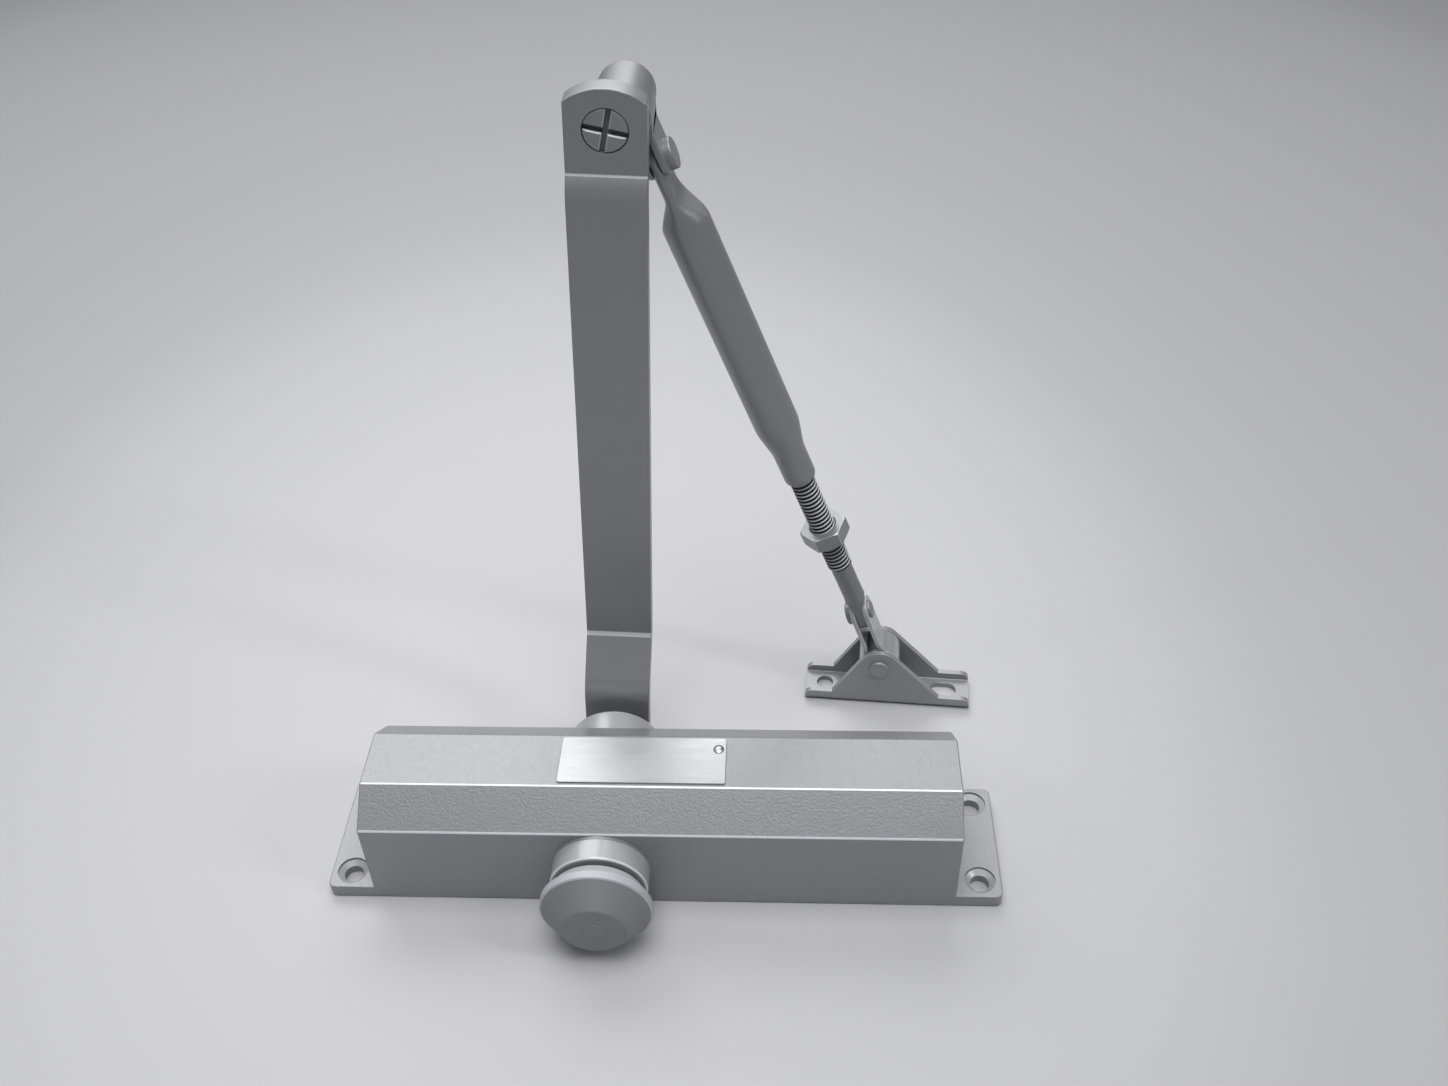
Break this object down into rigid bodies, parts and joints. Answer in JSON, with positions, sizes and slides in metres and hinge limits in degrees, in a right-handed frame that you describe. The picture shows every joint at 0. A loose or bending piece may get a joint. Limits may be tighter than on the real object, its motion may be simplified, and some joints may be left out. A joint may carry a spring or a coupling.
{
  "type": "overhead door closer",
  "caption": "Overhead hydraulic door closer: flanged body with rack and pinion, cranked main arm, adjustable tubular forearm and pivoting foot bracket.",
  "frame": {"origin": "centre of the four fixing holes, on the body's mounting face", "axes": "+X along the body towards its spring end, +Y towards the arm side along the spindle, +Z away from the mounting face"},
  "size_m": [0.24, 0.1417, 0.2651],
  "materials": {
    "cast_paint": "silver-grey paint on a slightly grainy casting",
    "cap_paint": "smooth silver-grey paint",
    "arm_paint": "smooth darker grey paint",
    "foot_paint": "smooth silver-grey paint on folded sheet",
    "bright_steel": "polished, bright",
    "steel": "machined",
    "rod_steel": "dull, grey",
    "nut_steel": "zinc plated",
    "strap_steel": "dull zinc plated strip",
    "plate_aluminium": "bright, brushed, blank",
    "seal_rubber": "black, smooth"
  },
  "bodies": {
    "closer_body": {"housing": "cast_paint", "left_end_plug": "steel", "right_end_plug": "steel", "left_plug_ring": "seal_rubber", "right_plug_ring": "seal_rubber", "front_collar": "bright_steel", "rear_collar": "bright_steel", "front_bearing": "steel", "rear_bearing": "steel", "front_seal": "seal_rubber", "rear_seal": "seal_rubber", "valve_rings": "seal_rubber", "name_plate": "plate_aluminium", "plate_rivet": "plate_aluminium", "main_spring": "steel", "spring_seat": "steel"},
    "closing_screw": {"closing_valve": "steel"},
    "latching_screw": {"latching_valve": "steel"},
    "piston_body": {"piston": "steel", "check_ball": "bright_steel", "check_retainer": "steel"},
    "spindle_body": {"pinion_shaft": "steel", "spindle_cap": "cap_paint", "main_arm": "arm_paint", "arm_washer": "bright_steel", "arm_screw": "bright_steel", "elbow_washer": "bright_steel"},
    "elbow_body": {"elbow_screw": "arm_paint", "elbow_knuckle": "arm_paint", "elbow_rivet": "arm_paint"},
    "tube_body": {"forearm_tube": "arm_paint"},
    "rod_body": {"adjusting_rod": "rod_steel", "rod_rivet": "strap_steel"},
    "nut_body": {"lock_nut": "nut_steel"},
    "link_body": {"link_strap": "strap_steel"},
    "foot_body": {"foot_bracket": "foot_paint", "foot_sleeve": "rod_steel", "foot_rivet": "foot_paint"}
  },
  "joints": [
    {"name": "spindle_turn", "type": "hinge", "parent": "closer_body", "child": "spindle_body", "pos_m": [-0.0206, 0, 0.0196], "axis": [0, 1, 0], "range_deg": [0, 180]},
    {"name": "piston_slide", "type": "slide", "parent": "closer_body", "child": "piston_body", "axis": [1, 0, 0], "range_m": [0, 0.03017], "deforming": ["main_spring"]},
    {"name": "elbow_swing", "type": "hinge", "parent": "spindle_body", "child": "elbow_body", "pos_m": [-0.0092, 0.0625, 0.25272], "axis": [0, 1, 0], "continuous": true},
    {"name": "forearm_tilt", "type": "hinge", "parent": "elbow_body", "child": "tube_body", "pos_m": [0.00333, 0.074, 0.23598], "axis": [0.9406, 0, 0.3394], "range_deg": [-2, 30]},
    {"name": "rod_adjust", "type": "slide", "parent": "tube_body", "child": "rod_body", "axis": [0.3392, 0.0346, -0.9401], "range_m": [-0.024, 0.025]},
    {"name": "nut_travel", "type": "slide", "parent": "rod_body", "child": "nut_body", "axis": [-0.3392, -0.0346, 0.9401], "range_m": [-0.015, 0.024]},
    {"name": "link_tilt", "type": "hinge", "parent": "rod_body", "child": "link_body", "pos_m": [0.0728, 0.08108, 0.04345], "axis": [0.939, -0.0723, 0.3362], "range_deg": [-20, 20]},
    {"name": "bracket_swing", "type": "hinge", "parent": "link_body", "child": "foot_body", "pos_m": [0.08114, 0.08043, 0.02], "axis": [0.0767, 0.9971, 0], "range_deg": [-100, 60]},
    {"name": "closing_valve_turn", "type": "hinge", "parent": "closer_body", "child": "closing_screw", "pos_m": [-0.1032, -0.0065, 0.0434], "axis": [1, 0, 0], "range_deg": [-180, 540]},
    {"name": "latching_valve_turn", "type": "hinge", "parent": "closer_body", "child": "latching_screw", "pos_m": [-0.1032, 0.0065, 0.0434], "axis": [1, 0, 0], "range_deg": [-180, 540]}
  ],
  "couplings": [
    {"joint": "piston_slide", "follows": "spindle_turn", "m_per_rad": 0.0096}
  ]
}
